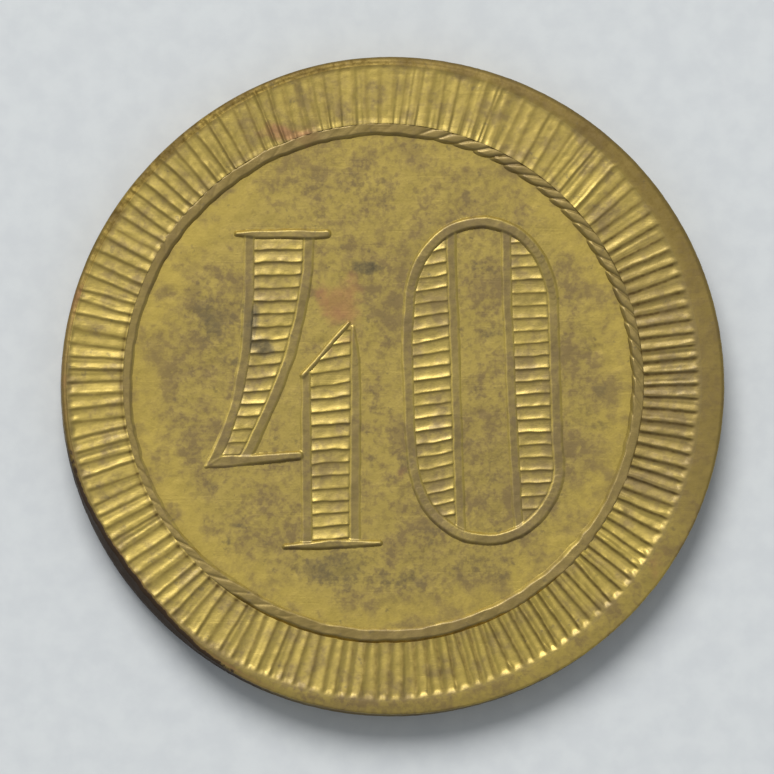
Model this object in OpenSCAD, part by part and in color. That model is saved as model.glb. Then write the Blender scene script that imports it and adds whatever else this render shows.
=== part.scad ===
// Struck brass fare token: a round flan with, on each face, a plain rim, a border of radial
// rays, a rope circle and a two-figure value drawn as open frames filled with hatching.
// The token lies flat: obverse up, reverse rim on z = 0, flan axis on the Z axis.
// Everything that a die makes is drawn around the die's own centre, and the whole strike is
// shifted sideways on the flan, so one side of the rim comes out wider than the other.

/* [Flan] */
// Diameter over the plain edge
token_d = 28.4; // [24:0.1:34]
// Thickness over both rims
token_t = 2.0; // [1.4:0.1:3]
// Height of the rims above the fields, also the rounding of the outer corners
relief = 0.18; // [0.16:0.01:0.24]

/* [Strike] */
// Sideways shift of the dies on the flan, along X
strike_x = -0.42; // [-0.42:0.02:0.42]
// Sideways shift of the dies on the flan, along Y
strike_y = 0.03; // [-0.1:0.01:0.1]

/* [Border] */
// Mean width of the plain rim
rim_w = 0.65; // [0.65:0.05:1.2]
// Radial length of the rays
ray_l = 2.35; // [1.5:0.05:2.4]
// Number of rays in a border
ray_count = 142; // [100:1:142]
// Height of the rays above the field
ray_h = 0.14; // [0.12:0.01:0.16]
// Radius of the round flute between two rays
flute_r = 0.28; // [0.24:0.01:0.3]
// Depth of the flute below the top of the rays
flute_d = 0.08; // [0.05:0.01:0.09]
// Width of the rope circle
rope_w = 0.5; // [0.4:0.05:0.7]
// Height of the rope circle above the field
rope_h = 0.15; // [0.12:0.01:0.16]
// Number of strands in the rope circle
rope_count = 85; // [60:1:90]

/* [Numerals] */
// Height of the figure 0 over its outline
zero_h = 14.05; // [11:0.05:14.5]
// Height of the frames above the field
frame_h = 0.14; // [0.1:0.01:0.16]
// Height of the hatching bars above the field
hatch_h = 0.09; // [0.05:0.01:0.1]
// Spacing of the hatching bars
hatch_pitch = 0.546; // [0.4:0.01:0.8]
// Width of a hatching bar
hatch_w = 0.16; // [0.1:0.01:0.2]
// Upward slope of the hatching bars towards the right, degrees
hatch_slope = 4; // [0:1:8]

/* [Hidden] */

$fn = 96;
token_r = token_d / 2;
ray_outer_r = token_r - rim_w;
rope_outer_r = ray_outer_r - ray_l;
rope_inner_r = rope_outer_r - rope_w;
rope_chamfer = 0.1;
// Rope strands: depth, width and lean of the cut between two of them
cut_d = 0.07;
cut_w = 0.09;
cut_lean = 52;

// The figures are drawn for this height of the 0 and scaled to zero_h
drawn_h = 14.05;
figure_k = zero_h / drawn_h;
ribbon = 0.4;
steps = 24;

// Figure 4: the broad diagonal stroke sweeps down to a tip at the left end of the crossbar
stroke_top_y = 6.25;
stroke_tip_y = -3.6;
stroke_left = [-5.9, -7.65, 3.2];    // x at the top, x at the tip, strength of the bend
stroke_right = [-2.98, -6.0, 2.1];
crossbar_y = -3.2;
crossbar_rise = 0.2;
crossbar_w = 0.3;
stem_left_x = -3.45;
stem_right_x = -1.0;
stem_notch_y = 0.25;                 // where the slanted top of the stem starts, at its left side
stem_top_y = 2.35;                   // where it ends, at its right side
stem_foot_y = -6.8;
serif_w = 0.36;
serif_lap = 0.04;

// Figure 0: two half ellipses joined by straight sides, with an upright inside each side
zero_left_x = 1.05;
zero_right_x = 7.65;
zero_top_y = 7.15;
zero_end_h = 3.5;
zero_upright_left_x = 2.8;
zero_upright_right_x = 5.2;

// Side of the broad stroke of the 4 at height y
function stroke_x(side, y) =
    side[0] + (side[1] - side[0]) * pow((stroke_top_y - y) / (stroke_top_y - stroke_tip_y), side[2]);

// Points down the side of the stroke, moved sideways by dx, from the top to height low_y
function stroke_points(side, dx, low_y) = [
    for (i = [0 : steps])
        let (y = stroke_top_y + (low_y - stroke_top_y) * i / steps)
        [stroke_x(side, y) + dx, y]
];

function backwards(points) = [for (i = [len(points) - 1 : -1 : 0]) points[i]];

// Outline of the 0, drawn inwards by inset
function zero_points(inset) =
    let (
        half_w = (zero_right_x - zero_left_x) / 2 - inset,
        mid_x = (zero_left_x + zero_right_x) / 2,
        end_y = [zero_top_y - zero_end_h, zero_top_y - drawn_h + zero_end_h],
        end_h = zero_end_h - inset
    )
    [
        for (e = [0, 1], i = [0 : steps])
            let (a = e * 180 + i * 180 / steps)
            [mid_x + half_w * cos(a), end_y[e] + end_h * sin(a)]
    ];

// Places a face's features on the flan: the obverse on top, the reverse below, turned over about X
module on_face(side) {
    z = side == "obverse" ? token_t - relief : relief;
    turn = side == "obverse" ? 0 : 180;
    translate([strike_x, strike_y, z]) rotate([turn, 0, 0]) children();
}

module raised(height) {
    scale(figure_k) linear_extrude(height / figure_k) children();
}

module flan_disc() {
    translate([0, 0, relief]) cylinder(r = token_r, h = token_t - 2 * relief);
}

// The rim's outer wall is the rounded corner of the token, its inner wall belongs to the die
module rim(side) {
    z = side == "obverse" ? token_t - relief : relief;
    turn = side == "obverse" ? 0 : 180;
    difference() {
        translate([0, 0, z]) rotate([turn, 0, 0]) rotate_extrude() {
            square([token_r - relief, relief]);
            translate([token_r - relief, 0]) intersection() {
                circle(r = relief);
                square(relief);
            }
        }
        translate([strike_x, strike_y, -1]) cylinder(r = ray_outer_r, h = token_t + 2);
    }
}

module ray_border() {
    flute_z = ray_h - flute_d + flute_r;
    difference() {
        cylinder(r = ray_outer_r, h = ray_h);
        translate([0, 0, -1]) cylinder(r = rope_outer_r, h = ray_h + 2);
        for (i = [0 : ray_count - 1])
            rotate([0, 90, 360 * i / ray_count])
                translate([-flute_z, 0, rope_outer_r - 1]) cylinder(r = flute_r, h = ray_l + 2, $fn = 24);
    }
}

module rope_circle() {
    difference() {
        rotate_extrude() polygon([
            [rope_inner_r, 0],
            [rope_outer_r, 0],
            [rope_outer_r, rope_h - rope_chamfer],
            [rope_outer_r - rope_chamfer, rope_h],
            [rope_inner_r + rope_chamfer, rope_h],
            [rope_inner_r, rope_h - rope_chamfer]
        ]);
        for (i = [0 : rope_count - 1])
            rotate(360 * i / rope_count)
                translate([(rope_inner_r + rope_outer_r) / 2, 0, rope_h])
                    rotate(cut_lean) cube([2 * rope_w, cut_w, 2 * cut_d], center = true);
    }
}

// Sloping bars over the area from y_low to y_high, to be cut to the figure's open strokes
module hatching_bars(x_low, x_high, y_low, y_high) {
    for (y = [y_low + hatch_pitch / 2 : hatch_pitch : y_high])
        translate([(x_low + x_high) / 2, y]) rotate(hatch_slope)
            square([2 * (x_high - x_low), hatch_w], center = true);
}

module four_stroke_opening() {
    polygon(concat(
        stroke_points(stroke_left, ribbon, crossbar_y + crossbar_w / 2),
        backwards(stroke_points(stroke_right, -ribbon, crossbar_y + crossbar_w / 2))
    ));
}

module four_stem_opening() {
    polygon([
        [stem_left_x + ribbon, stem_foot_y],
        [stem_right_x - ribbon, stem_foot_y],
        [stem_right_x - ribbon, stem_top_y - ribbon],
        [stem_left_x + ribbon, stem_notch_y]
    ]);
}

module four_outline() {
    low_y = crossbar_y - crossbar_w / 2;
    crossbar_end_x = stem_left_x + ribbon / 2;
    difference() {
        union() {
            // broad stroke down to the crossbar
            polygon(concat(
                stroke_points(stroke_left, 0, low_y),
                backwards(stroke_points(stroke_right, 0, low_y))
            ));
            // crossbar, running out to the tip at the left
            polygon([
                [stroke_left[1], stroke_tip_y],
                [stroke_left[1] + ribbon, crossbar_y - crossbar_w - crossbar_rise],
                [crossbar_end_x, crossbar_y - crossbar_w / 2 + crossbar_rise / 2],
                [crossbar_end_x, crossbar_y + crossbar_w / 2 + crossbar_rise / 2],
                [stroke_x(stroke_left, crossbar_y + crossbar_w / 2), crossbar_y + crossbar_w / 2]
            ]);
            // stem with its slanted top
            polygon([
                [stem_left_x, stem_foot_y],
                [stem_right_x, stem_foot_y],
                [stem_right_x, stem_top_y],
                [stem_right_x - ribbon, stem_top_y + ribbon / 2],
                [stem_left_x, stem_notch_y]
            ]);
        }
        four_stroke_opening();
        four_stem_opening();
    }
    // serifs: thin bars, tapered towards their ends, which lap over the ends of the ribbons
    serif(-6.5, -2.2, stroke_top_y - serif_lap);
    serif(-4.3, -0.1, stem_foot_y - serif_w + serif_lap);
}

module serif(x_low, x_high, y) {
    taper = serif_w / 3;
    polygon([
        [x_low, y + taper], [x_low + ribbon, y], [x_high - ribbon, y],
        [x_high, y + taper], [x_high, y + serif_w - taper], [x_high - ribbon, y + serif_w],
        [x_low + ribbon, y + serif_w], [x_low, y + serif_w - taper]
    ]);
}

module zero_outline() {
    difference() {
        polygon(zero_points(0));
        polygon(zero_points(ribbon));
    }
    intersection() {
        polygon(zero_points(ribbon / 2));
        for (x = [zero_upright_left_x, zero_upright_right_x])
            translate([x, zero_top_y - drawn_h]) square([ribbon, drawn_h]);
    }
}

module zero_side_openings() {
    difference() {
        polygon(zero_points(ribbon));
        translate([zero_upright_left_x, zero_top_y - drawn_h])
            square([zero_upright_right_x + ribbon - zero_upright_left_x, drawn_h]);
    }
}

module four_frame() {
    raised(frame_h) four_outline();
}

module four_hatching() {
    raised(hatch_h) {
        intersection() {
            four_stroke_opening();
            hatching_bars(stroke_left[1], stroke_right[0], crossbar_y, stroke_top_y);
        }
        intersection() {
            four_stem_opening();
            hatching_bars(stem_left_x, stem_right_x, stem_foot_y, stem_top_y);
        }
    }
}

module zero_frame() {
    raised(frame_h) zero_outline();
}

module zero_hatching() {
    raised(hatch_h) intersection() {
        zero_side_openings();
        hatching_bars(zero_left_x, zero_right_x, zero_top_y - drawn_h, zero_top_y);
    }
}

module flan() { color("darkkhaki") flan_disc(); }

module obverse_rim() { color("goldenrod") rim("obverse"); }
module obverse_ray_border() { color("khaki") on_face("obverse") ray_border(); }
module obverse_rope_circle() { color("peru") on_face("obverse") rope_circle(); }
module obverse_four_frame() { color("peru") on_face("obverse") four_frame(); }
module obverse_four_hatching() { color("gold") on_face("obverse") four_hatching(); }
module obverse_zero_frame() { color("peru") on_face("obverse") zero_frame(); }
module obverse_zero_hatching() { color("gold") on_face("obverse") zero_hatching(); }

module reverse_rim() { color("goldenrod") rim("reverse"); }
module reverse_ray_border() { color("khaki") on_face("reverse") ray_border(); }
module reverse_rope_circle() { color("peru") on_face("reverse") rope_circle(); }
module reverse_four_frame() { color("peru") on_face("reverse") four_frame(); }
module reverse_four_hatching() { color("gold") on_face("reverse") four_hatching(); }
module reverse_zero_frame() { color("peru") on_face("reverse") zero_frame(); }
module reverse_zero_hatching() { color("gold") on_face("reverse") zero_hatching(); }

flan();
obverse_rim();
obverse_ray_border();
obverse_rope_circle();
obverse_four_frame();
obverse_four_hatching();
obverse_zero_frame();
obverse_zero_hatching();
reverse_rim();
reverse_ray_border();
reverse_rope_circle();
reverse_four_frame();
reverse_four_hatching();
reverse_zero_frame();
reverse_zero_hatching();
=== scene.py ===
import math
from types import SimpleNamespace

import bpy
import numpy as np
from mathutils import Matrix, Vector


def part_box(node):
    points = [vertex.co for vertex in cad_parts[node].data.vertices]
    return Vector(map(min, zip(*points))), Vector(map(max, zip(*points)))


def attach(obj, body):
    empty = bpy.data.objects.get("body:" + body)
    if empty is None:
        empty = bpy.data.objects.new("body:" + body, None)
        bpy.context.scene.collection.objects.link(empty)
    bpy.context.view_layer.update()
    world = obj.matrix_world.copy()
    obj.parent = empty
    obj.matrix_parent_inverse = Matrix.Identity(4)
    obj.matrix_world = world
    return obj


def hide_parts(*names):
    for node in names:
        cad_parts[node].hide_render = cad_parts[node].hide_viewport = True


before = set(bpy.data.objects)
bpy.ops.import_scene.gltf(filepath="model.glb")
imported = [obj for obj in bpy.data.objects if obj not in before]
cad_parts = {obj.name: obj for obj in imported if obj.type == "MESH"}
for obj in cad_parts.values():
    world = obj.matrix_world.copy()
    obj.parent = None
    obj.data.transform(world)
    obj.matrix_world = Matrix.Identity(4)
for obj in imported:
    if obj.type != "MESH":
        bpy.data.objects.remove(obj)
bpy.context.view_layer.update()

# The looks of a struck brass token. The CAD frame gives its sizes. Every struck part is a height
# over its face, worked out in mm in die coordinates: x and y run from the dies' centre, and the
# reverse is the obverse turned over top to bottom, with its own wear.

# ---- sizes, in millimetres
MM = 0.001


def node_box(name):
    """Lowest and highest corner of a CAD node, in mm."""
    low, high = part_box(name)
    return np.array(low) / MM, np.array(high) / MM


rim_low, rim_high = node_box("obverse_rim")
ray_low, ray_high = node_box("obverse_ray_border")
rope_low, rope_high = node_box("obverse_rope_circle")

TOKEN_R = (rim_high[0] - rim_low[0]) / 2
TOKEN_T = rim_high[2]
FIELD_Z = node_box("flan")[1][2]
RELIEF = TOKEN_T - FIELD_Z
STRIKE = (ray_low[:2] + ray_high[:2]) / 2  # the dies' centre on the flan
RAY_R = (ray_high[0] - ray_low[0]) / 2
ROPE_R = (rope_high[0] - rope_low[0]) / 2
ROPE_W = 0.5
FRAME_H = node_box("obverse_four_frame")[1][2] - FIELD_Z

RAY_COUNT = 142
STRAND_COUNT = 85
SINK = 0.05  # how far a piece's closed underside lies below the field
SIDES = ("obverse", "reverse")
UP = {"obverse": 1, "reverse": -1}

# Fineness of the meshes: the unseen reverse is a little coarser
COLUMNS_PER_RAY = {"obverse": 16, "reverse": 10}
COLUMNS_PER_STRAND = {"obverse": 22, "reverse": 14}
RIBBON_STEP = {"obverse": 0.036, "reverse": 0.05}
BAR_STEP = {"obverse": 0.07, "reverse": 0.11}
FIELD_GRID = 181  # points along one side of a field's grid

# First random seed of each struck part
SEEDS = {
    "field": {"obverse": 100, "reverse": 200},
    "border": {"obverse": 300, "reverse": 400},
    "rope": {"obverse": 500, "reverse": 600},
    "frame": {"obverse": 700, "reverse": 800},
    "hatching": {"obverse": 720, "reverse": 820},
}
SEED_STEP = {"four": 0, "zero": 50}


# ---- noise and shaping helpers
LATTICE = 64  # random values along each side of the noise's repeating square


def ease(t):
    """0 to 1 in, 0 to 1 out, level at both ends."""
    return t * t * (3 - 2 * t)


def smooth(low, high, value):
    """0 below low, 1 above high, with a soft ramp between."""
    return ease(np.clip((value - low) / (high - low), 0, 1))


def noise(x, y, cell, seed):
    """Smooth noise from -1 to 1 whose features are about cell mm wide."""
    rng = np.random.default_rng(seed)
    lattice = rng.uniform(-1, 1, (LATTICE, LATTICE))
    turn = rng.uniform(0, math.pi)
    u = (x * math.cos(turn) - y * math.sin(turn)) / cell + 31.7
    v = (x * math.sin(turn) + y * math.cos(turn)) / cell + 17.3
    i, j = np.floor(u).astype(int), np.floor(v).astype(int)
    s, t = ease(u - i), ease(v - j)
    i, j, i2, j2 = i % LATTICE, j % LATTICE, (i + 1) % LATTICE, (j + 1) % LATTICE
    near = lattice[i, j] * (1 - s) + lattice[i2, j] * s
    far = lattice[i, j2] * (1 - s) + lattice[i2, j2] * s
    return near * (1 - t) + far * t


def around(angle, count, seed):
    """Smooth periodic noise from -1 to 1 round a circle, with count random values."""
    values = np.random.default_rng(seed).uniform(-1, 1, count)
    u = (angle / math.tau) % 1 * count
    i = np.floor(u).astype(int)
    t = ease(u - i)
    return values[i % count] * (1 - t) + values[(i + 1) % count] * t


def ratchet(s, steep, gentle):
    """A ridge seen across: steep on the side where s is negative, easy on the other."""
    return np.where(s < 0, np.exp(-(s / steep) ** 2), np.exp(-(np.clip(s, 0, None) / gentle) ** 1.4))


def blobs(x, y, spots):
    """Soft elliptical spots, each (x, y, half width, half height, strength), as a 0 to 1 mask."""
    total = np.zeros_like(x)
    for cx, cy, rx, ry, strength in spots:
        far = ((x - cx) / rx) ** 2 + ((y - cy) / ry) ** 2
        total = np.maximum(total, strength * np.exp(-far))
    return total


# ---- toning that runs across pieces
# Spots in die coordinates: x, y, half width, half height, strength
STAINS = {
    "obverse": [
        (-0.66, 4.85, 0.55, 0.32, 1.7), (-5.3, 1.35, 0.75, 0.42, 1.35), (-5.9, 2.1, 0.4, 1.3, 1.3),
        (-4.1, 10.75, 1.1, 0.4, 0.5), (-7.4, 2.6, 0.9, 1.3, 0.75),
        (-7.6, 4.0, 0.5, 0.4, 0.5), (-6.8, 1.0, 0.8, 0.8, 0.55), (-8.2, 0.4, 0.6, 0.8, 0.3),
        (4.15, 5.0, 0.35, 0.4, 0.6), (4.8, 2.4, 0.8, 0.6, 0.65), (3.7, 1.9, 0.5, 0.6, 0.5),
        (3.9, -0.4, 0.4, 1.2, 0.4), (3.3, -2.5, 0.5, 0.9, 0.5), (4.6, -4.2, 0.6, 1.0, 0.45),
        (0.9, -3.3, 0.45, 1.1, 0.6), (2.0, -1.6, 0.3, 0.8, 0.5), (-0.6, -2.9, 0.4, 1.2, 0.45),
        (-0.35, -0.8, 0.4, 0.8, 0.4), (-1.9, -7.9, 2.2, 0.9, 0.75), (0.7, -8.3, 1.8, 0.6, 0.6),
        (4.2, -7.7, 2.2, 0.8, 0.5), (2.0, -6.4, 0.7, 0.6, 0.4), (8.9, 1.8, 0.6, 0.5, 0.5),
        (9.3, -0.1, 0.6, 0.8, 0.5), (9.1, -1.8, 0.6, 0.5, 0.6), (7.8, 2.2, 0.4, 0.3, 0.4),
        (-6.2, -6.0, 0.6, 0.18, 0.8), (-7.2, -4.6, 0.6, 0.4, 0.5), (-6.4, -4.0, 0.7, 0.3, 0.4),
        (-8.3, -4.0, 0.3, 0.3, 0.4), (-6.7, -6.65, 0.15, 0.22, 0.9), (-1.4, 8.2, 4.2, 1.4, 0.38),
        (0.1, 8.9, 0.25, 0.1, 0.8), (-1.65, 7.6, 0.2, 0.14, 0.8), (3.6, 8.0, 1.6, 0.9, 0.3),
        (-9.0, -1.4, 0.5, 0.9, 0.25), (7.0, -6.0, 1.0, 0.8, 0.25), (13.0, 0.2, 1.6, 3.0, 0.55),
        (-1.0, 12.4, 3.4, 1.6, 0.2),
    ],
    "reverse": [
        (3.0, 6.5, 2.2, 1.3, 0.5), (-5.5, -4.0, 1.6, 2.1, 0.5), (0.5, -8.0, 3.0, 1.0, 0.6),
        (6.5, -3.0, 1.0, 1.6, 0.5), (-2.0, 8.4, 2.6, 0.8, 0.4), (-0.4, 1.2, 0.6, 1.4, 0.5),
        (9.0, 3.5, 0.8, 1.2, 0.5), (-12.0, 2.0, 1.4, 3.0, 0.5), (5.0, 11.5, 3.0, 1.4, 0.4),
    ],
}
COPPER = {
    "obverse": [
        (-1.85, 3.45, 1.05, 1.25, 1.3), (-4.1, 10.7, 1.2, 0.5, 1.25), (11.6, -8.0, 0.5, 0.9, 0.8),
        (-1.6, 1.6, 0.7, 0.6, 0.5), (0.9, -3.8, 0.4, 0.8, 0.5), (-3.6, 10.3, 0.5, 0.35, 1.0),
    ],
    "reverse": [(4.0, -5.5, 1.2, 0.9, 0.6), (-9.5, 8.0, 0.9, 0.6, 0.6)],
}


def toning(side, x, y):
    """Vertex masks for the oxidised and the pinkish patches."""
    wander_x = x + 0.35 * noise(x, y, 0.8, 41) + 0.12 * noise(x, y, 0.3, 42)
    wander_y = y + 0.35 * noise(x, y, 0.8, 43) + 0.12 * noise(x, y, 0.3, 44)
    return {
        "tone": blobs(wander_x, wander_y, STAINS[side]),
        "copper": blobs(wander_x, wander_y, COPPER[side]),
    }


# ---- meshes
SHARP = math.radians(45)  # folds sharper than this are shaded as edges


def to_world(side, x, y, h):
    """Die coordinates and the height above the field, in mm, to metres in the CAD frame."""
    up = UP[side]
    z = (FIELD_Z + h) if up > 0 else (RELIEF - h)
    return np.stack([x + STRIKE[0], up * y + STRIKE[1], z + 0 * x], axis=-1) * MM


def make_piece(name, points, faces, masks, material, node):
    """One closed mesh with its vertex masks, riding on the token's only body."""
    mesh = bpy.data.meshes.new(name)
    mesh.from_pydata(points.reshape(-1, 3), [], faces)
    mesh.update()
    mesh.polygons.foreach_set("use_smooth", np.ones(len(mesh.polygons), dtype=bool))
    for mask, values in masks.items():
        attribute = mesh.attributes.new(mask, "FLOAT", "POINT")
        attribute.data.foreach_set("value", np.clip(values, 0, 1).ravel().astype(np.float32))
    mesh.set_sharp_from_angle(angle=SHARP)
    mesh.materials.append(material)
    piece = bpy.data.objects.new(name, mesh)
    bpy.context.scene.collection.objects.link(piece)
    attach(piece, "root")
    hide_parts(node)


def loop_faces(rows, columns):
    """Quads of a closed tube: the rows wrap round the section, the columns round the ring."""
    i, j = np.meshgrid(np.arange(rows), np.arange(columns), indexing="ij")
    i2, j2 = (i + 1) % rows, (j + 1) % columns
    corners = [i * columns + j, i2 * columns + j, i2 * columns + j2, i * columns + j2]
    return np.stack(corners, -1).reshape(-1, 4)


def grid_cells(number, i, j):
    """Corner numbers of the chosen cells of a grid of vertex numbers."""
    return np.stack([number[i, j], number[i + 1, j], number[i + 1, j + 1], number[i, j + 1]], -1)


def ring_piece(name, side, x, y, h, masks, material, node):
    """A ring whose top rows are given from the inside out, closed by a flat underside."""
    low = np.full_like(h[:1], -SINK)
    x = np.concatenate([x, x[-1:], x[:1]])
    y = np.concatenate([y, y[-1:], y[:1]])
    h = np.concatenate([h, low, low])
    masks = {key: np.concatenate([value, value[-1:], value[:1]]) for key, value in masks.items()}
    points = to_world(side, x, y, h)
    make_piece(name, points, loop_faces(*x.shape), masks, material, node)


def patch_piece(name, side, x, y, h, chosen, masks, material, node):
    """The chosen cells of a grid as a raised patch with side walls and an underside."""
    rows, columns = x.shape
    number = np.arange(rows * columns).reshape(rows, columns)
    i, j = np.nonzero(chosen)
    top = grid_cells(number, i, j)
    bottom = top[:, ::-1] + rows * columns
    edges = np.stack([top, np.roll(top, -1, axis=1)], -1).reshape(-1, 2)
    keys = edges[:, 0] * (rows * columns) + edges[:, 1]
    border = edges[~np.isin(keys, edges[:, 1] * (rows * columns) + edges[:, 0])]
    walls = np.concatenate([border[:, ::-1], border + rows * columns], axis=1)
    faces = np.concatenate([top, bottom, walls])
    used, faces = np.unique(faces, return_inverse=True)
    points = np.concatenate([
        to_world(side, x, y, h).reshape(-1, 3),
        to_world(side, x, y, np.full_like(h, -SINK)).reshape(-1, 3),
    ])
    masks = {key: np.tile(value.ravel(), 2)[used] for key, value in masks.items()}
    make_piece(name, points[used], faces.reshape(-1, 4), masks, material, node)


# ---- the blank's outline
# Where the blank falls short of a true circle: direction, spread in degrees, shortfall in mm
FLATS = ((133, 26, 0.16), (80, 34, 0.12), (222, 18, 0.05), (285, 45, 0.05))
CORNER_R = 0.2
# The worn bevel on the obverse: direction, spread in degrees, and how far it cuts in
BEVEL_AT = 217
BEVEL_SPREAD = 17
BEVEL_REACH = 0.22
EDGE_ROUNDS = 8  # rounds of correction when the edge is seen from the dies' centre


def apart(angle, degrees):
    """How far each angle is from a direction, the short way round, in degrees."""
    return np.abs((np.degrees(angle) - degrees + 180) % 360 - 180)


def between(angle, first, last, soft):
    """1 between two directions in degrees, counter-clockwise, fading out over soft degrees."""
    middle, half = (first + last) / 2, (last - first) / 2
    return 1 - smooth(half - soft, half + soft, apart(angle, middle))


def flan_edge(angle):
    """Outermost radius of the blank in each direction."""
    edge = np.full_like(angle, TOKEN_R)
    for direction, spread, shortfall in FLATS:
        edge = edge - shortfall * np.exp(-(apart(angle, direction) / spread) ** 2)
    return edge


def side_radius(side, angle, drop):
    """Radius of the blank's edge at a depth below a face: rounded corner, then the plain wall."""
    corner = np.full_like(angle, CORNER_R)
    cut = np.zeros_like(angle)
    if side == "obverse":
        corner = 0.17 + 0.12 * between(angle, 20, 165, 20) - 0.08 * between(angle, 240, 345, 12)
        cut = BEVEL_REACH * np.clip(1 - (apart(angle, BEVEL_AT) / BEVEL_SPREAD) ** 2, 0, 1)
        cut = cut * np.clip(1 - drop, 0, 1) ** 0.8 * (1 + 0.15 * around(angle, 190, 71))
    left = np.clip(corner - drop, 0, None)
    nick = 0.012 * np.abs(around(angle, 420, 72)) * (1 - 0.8 * between(angle, 90, 170, 10))
    nick = nick + 0.02 * np.clip(around(angle, 90, 73) - 0.6, 0, 1)
    return flan_edge(angle) - corner + np.sqrt(np.maximum(corner ** 2 - left ** 2, 0)) - cut - nick


def edge_from_die(side, angle, drop):
    """Distance from the dies' centre to the blank's edge, for directions seen from that centre."""
    distance = np.full_like(angle, TOKEN_R)
    for _ in range(EDGE_ROUNDS):
        wx = distance * np.cos(angle) + STRIKE[0]
        wy = UP[side] * distance * np.sin(angle) + STRIKE[1]
        distance = distance + side_radius(side, np.arctan2(wy, wx), drop) - np.hypot(wx, wy)
    return distance


# ---- the struck surface
DENT_COUNT = 130
DENTS_REACH = 10.4


def field_height(side, x, y):
    """The field is nearly flat: slow waves, small dents and a few pits."""
    seed = SEEDS["field"][side]
    h = 0.006 * noise(x, y, 2.6, seed) + 0.006 * noise(x, y, 0.9, seed + 1)
    h = h + 0.004 * noise(x, y, 0.35, seed + 2)
    rng = np.random.default_rng(seed + 3)
    for _ in range(DENT_COUNT):
        px, py = rng.uniform(-DENTS_REACH, DENTS_REACH, 2)
        size = rng.uniform(0.06, 0.22)
        depth = rng.uniform(0.003, 0.014)
        near = (np.abs(x - px) < 3 * size) & (np.abs(y - py) < 3 * size)
        h[near] -= depth * np.exp(-((x[near] - px) ** 2 + (y[near] - py) ** 2) / size ** 2)
    return h


# How tall the ridges stand, by direction in degrees: worn at the top, crisp at the lower right
RIB_HEIGHTS = (
    (10, 0.78), (30, 0.6), (50, 0.38), (70, 0.22), (90, 0.22), (110, 1.25), (130, 1.2), (150, 0.88),
    (170, 0.68), (190, 0.7), (210, 0.5), (250, 0.55), (270, 0.95), (290, 2.2), (310, 2.4),
    (330, 1.7), (350, 1.1),
)


def border_angles(side):
    """Ray number along the border, counted finely, with more columns near each ridge."""
    per_ray = COLUMNS_PER_RAY[side]
    t = (np.arange(RAY_COUNT * per_ray) / per_ray) % 1
    whole = np.repeat(np.arange(RAY_COUNT), per_ray)
    return whole + t - 0.075 * np.sin(math.tau * t)


def ray_slip(angle, outward, r, seed):
    """How far the rays wander from their even places, in ray pitches."""
    flat_x, flat_y = r * np.cos(angle), r * np.sin(angle)
    askew = 0.24 * around(angle, 24, seed + 1) + 0.2 * around(angle, RAY_COUNT, seed + 14)
    slip = 0.15 * around(angle, RAY_COUNT // 2, seed) + askew * (outward - 0.5)
    slip = slip + 0.035 * noise(flat_x, flat_y, 0.9, seed + 2)
    slip = slip + 0.02 * noise(flat_x, flat_y, 0.25, seed + 3)
    return slip * (1 - smooth(RAY_R, RAY_R + 0.3, r))


def border_wear(side, angle, r, seed):
    """How the border differs from one direction to another.

    strength is how tall the ridges stand, wall_depth how far the hollows lie below the rim, fade
    how gently the rays run out into the rim, flaws how deep their scores are and lip how far their
    inner ends curl up. bright says how clean and light the hollows are: low on the right, where the
    rays are painted darker as shade. dirt_shade and crease say how much dirt and painted shade lie
    along the ridges and the rope, pale how much pale painted highlight lies on the flute tips and
    plain how rubbed the metal is.
    """
    if side == "reverse":
        return SimpleNamespace(
            bright=0.5 + 0.5 * around(angle, 7, seed + 5),
            strength=0.9 + 0.1 * around(angle, 9, seed + 6),
            wall_depth=0.09 + 0.02 * around(angle, 8, seed + 7),
            fade=np.zeros_like(angle),
            flaws=1, dirt_shade=1, lip=0, crease=0.4, pale=0, plain=0.8,
        )
    wall_depth = 0.04 + 0.011 * between(angle, 225, 335, 16) + 0.021 * between(angle, 292, 335, 10)
    return SimpleNamespace(
        # low on the right, where the rays are painted darker as shade
        bright=1 - between(angle, -22, 32, 14),
        strength=np.interp(np.degrees(angle), *zip(*RIB_HEIGHTS), period=360),
        wall_depth=wall_depth + 0.025 * between(angle, 100, 150, 14),
        fade=between(angle, 25, 165, 18),
        flaws=1 + 2 * between(angle, 62, 112, 10) * smooth(ROPE_R + 1.1, ROPE_R + 0.3, r),
        # dirt and painted shade along the ridges: less at the top, more at the lower right
        dirt_shade=1 - 0.5 * between(angle, 40, 108, 14) + 0.1 * between(angle, 285, 335, 14),
        lip=between(angle, 45, 158, 8),
        crease=between(angle, 160, 244, 8),
        # pale painted highlight on the flute tips at the lower right
        pale=between(angle, 275, 335, 12),
        plain=0.8 - 0.7 * between(angle, 245, 335, 14) - 0.7 * between(angle, 92, 168, 12),
    )


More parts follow.
